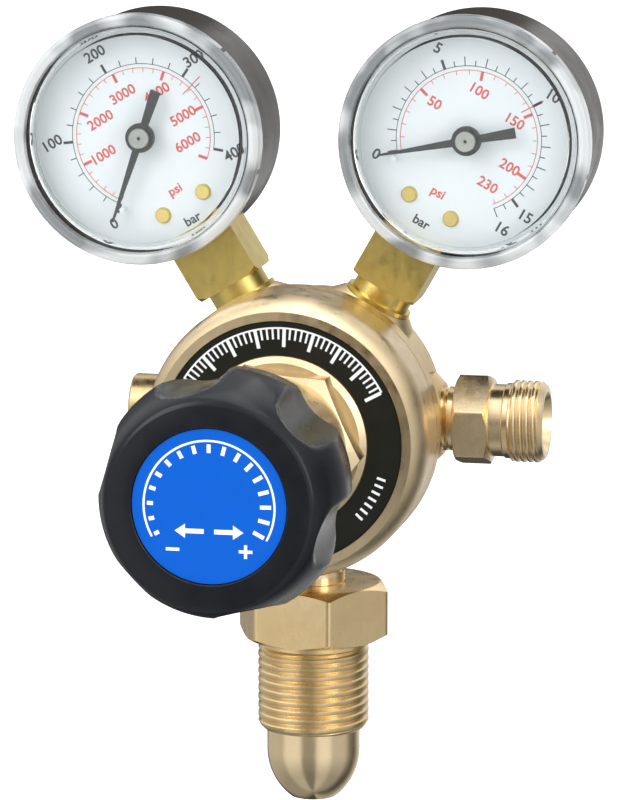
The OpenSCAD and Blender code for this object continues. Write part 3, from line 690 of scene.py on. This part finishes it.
def dial_marks(side):
    scale = SCALES[side]
    low, high = DIAL_FACE - 0.02, DIAL_FACE + DRAWN
    black = [band(SCALE_R - 0.07, SCALE_R + 0.07, ZERO, ZERO + SPAN, low, high, 130)]
    red_end = ZERO + SPAN * max(1.0, scale["inner_last"] / scale["inner_full"])
    red = [band(INNER_SCALE_R - 0.07, INNER_SCALE_R + 0.07, ZERO, red_end, low, high, 130)]

    def at(value, full):
        return ZERO + SPAN * value / full

    def spot(angle, radius):
        a = math.radians(-90 - angle)
        return radius * math.cos(a), radius * math.sin(a)

    step = scale["half"] or scale["minor"]
    for i in range(int(scale["full"] / step) + 1):
        value = i * step
        if value % scale["major"] == 0:
            reach, width = 2.0, 0.55
        elif value % scale["minor"] == 0:
            reach, width = scale["minor_long"], 0.2
        else:
            reach, width = 1.1, 0.2
        black.append(tick(at(value, scale["full"]), SCALE_R, SCALE_R + reach, width, low, high))
    for i in range(scale["inner_last"] // scale["inner_minor"] + 1):
        value = i * scale["inner_minor"]
        main = value % scale["inner_major"] == 0 and value > 0
        red.append(tick(at(value, scale["inner_full"]), INNER_SCALE_R - (1.9 if main else 0.9), INNER_SCALE_R,
                        0.6 if main else 0.14, low, high))
    red.append(tick(at(scale["limit"], scale["full"]), INNER_SCALE_R - 1.9, SCALE_R + 2.4, 0.22, low, high))
    for value in scale["numbers"]:
        x, y = spot(at(value, scale["full"]), 19.3)
        black.append(lettering(str(value), 3.1, x, y, low, high))
    for value in scale["inner_numbers"]:
        angle = min(at(value, scale["inner_full"]), ZERO + SPAN - 2)
        x, y = spot(angle, 9.4 if value > 999 else 10.0)
        red.append(lettering(str(value), 2.9, x, y, low, high))
    red.append(lettering("psi", 2.7, 0.0, -12.7, low, high))
    black.append(lettering("bar", 2.7, 0.0, -19.7, low, high))
    there = gauge_place(side)
    make(f"dial_black_{side}", black, there, "regulator", LOOKS["print_black"])
    make(f"dial_red_{side}", red, there, "regulator", LOOKS["print_red"])


def pointer_boss(side):
    """The bright cap pressed on the pointer's hub."""
    profile = [(0, 7.6), (2.12, 7.6), (2.12, 7.95), (1.95, 8.12), (0.45, 8.14), (0.3, 8.0), (0, 7.95)]
    shape = lathe(profile, 64)
    make(f"pointer_boss_{side}", [shape], gauge_place(side), f"hand_{side}", LOOKS["boss"])


inlet_nut()
outlet_fitting()
adjusting_screw()
knob()
knob_marks()
label_marks()
for side in SIDES:
    dial_marks(side)
    pointer_boss(side)

# ---------- stage, light and camera ----------


def stage_floor():
    low = CAD_BOX[0][2] - 0.12
    bpy.ops.mesh.primitive_plane_add(size=40, location=(0, 0, low))
    floor = bpy.context.object
    floor.name = "floor"
    material, tree, shader = new_material("floor_pale")
    shader.inputs["Base Color"].default_value = (0.9, 0.9, 0.9, 1.0)
    shader.inputs["Roughness"].default_value = 0.9
    shader.inputs["Emission Color"].default_value = (1.0, 1.0, 1.0, 1.0)
    shader.inputs["Emission Strength"].default_value = 0.4
    floor.data.materials.append(material)
    floor.visible_glossy = False


def soft_box(name, spot, size, power, target):
    data = bpy.data.lights.new(name, "AREA")
    data.shape = "RECTANGLE"
    data.size, data.size_y = size
    data.energy = power
    lamp = bpy.data.objects.new(name, data)
    lamp.location = spot
    lamp.rotation_euler = (Vector(target) - Vector(spot)).to_track_quat("-Z", "Y").to_euler()
    bpy.context.scene.collection.objects.link(lamp)


# the room's brightness round the horizon: degrees from straight in front toward the right, and level
ROOM = [(-180, 0.10), (-150, 0.10), (-138, 0.55), (-95, 0.60), (-75, 0.55), (-60, 0.90), (-23, 0.90),
        (-15, 0.36), (14, 0.36), (22, 0.95), (50, 0.95), (62, 0.60), (98, 0.60), (112, 0.25), (132, 0.10),
        (180, 0.10)]


def studio():
    world = bpy.data.worlds.new("studio")
    bpy.context.scene.world = world
    world.use_nodes = True
    tree = world.node_tree
    back = tree.nodes["Background"]
    parts = node(tree, "SeparateXYZ")
    tree.links.new(node(tree, "TexCoord").outputs["Generated"], parts.inputs[0])
    ahead = node(tree, "Math", operation="MULTIPLY")
    tree.links.new(parts.outputs["Y"], ahead.inputs[0])
    ahead.inputs[1].default_value = -1.0
    round_room = node(tree, "Math", operation="ARCTAN2")
    tree.links.new(parts.outputs["X"], round_room.inputs[0])
    tree.links.new(ahead.outputs["Value"], round_room.inputs[1])
    ramp = node(tree, "ValToRGB")
    turn = ranged(tree, round_room.outputs["Value"], 0.0, 1.0, (-math.pi, math.pi))
    tree.links.new(turn, ramp.inputs["Fac"])
    stops = ramp.color_ramp.elements
    ends = {ROOM[0][0]: stops[0], ROOM[-1][0]: stops[1]}
    for angle, level in ROOM:
        stop = ends.get(angle) or stops.new(angle / 360 + 0.5)
        stop.color = (level, level, level, 1.0)
    overhead = ranged(tree, parts.outputs["Z"], 0.0, 0.75, (0.15, 0.75))
    under = ranged(tree, parts.outputs["Z"], 0.55, 1.0, (-0.75, -0.20))
    shaded = node(tree, "Math", operation="MULTIPLY")
    tree.links.new(ramp.outputs["Color"], shaded.inputs[0])
    tree.links.new(under, shaded.inputs[1])
    total = node(tree, "Math", operation="ADD")
    tree.links.new(shaded.outputs["Value"], total.inputs[0])
    tree.links.new(overhead, total.inputs[1])
    seen = node(tree, "LightPath")
    strength = node(tree, "Mix", data_type="FLOAT")
    tree.links.new(seen.outputs["Is Camera Ray"], strength.inputs[0])
    tree.links.new(total.outputs["Value"], strength.inputs[2])
    strength.inputs[3].default_value = 1.05
    tree.links.new(strength.outputs[0], back.inputs["Strength"])
    back.inputs["Color"].default_value = (1.0, 1.0, 1.0, 1.0)
    target = CENTRE
    soft_box("key_left", (-0.75, -0.85, 0.75), (0.6, 0.8), 4.4, target)
    soft_box("fill_right", (0.95, -0.7, 0.35), (0.5, 0.7), 2.4, target)
    soft_box("top", (0.1, 0.1, 1.1), (0.9, 0.6), 2.0, target)


def camera():
    spot, target = Vector((0.208505, -1.024479, 0.258299)), Vector((-0.000104, 0.0, 0.067566))
    data = bpy.data.cameras.new("camera")
    data.lens = 233.11
    data.sensor_width = 36.0
    data.clip_start = 0.05
    data.clip_end = 100.0
    made = bpy.data.objects.new("camera", data)
    made.location = spot
    made.rotation_euler = (target - spot).to_track_quat("-Z", "Y").to_euler()
    bpy.context.scene.collection.objects.link(made)
    bpy.context.scene.camera = made


stage_floor()
studio()
camera()
bpy.context.scene.view_settings.view_transform = "Standard"

bpy.context.view_layer.update()
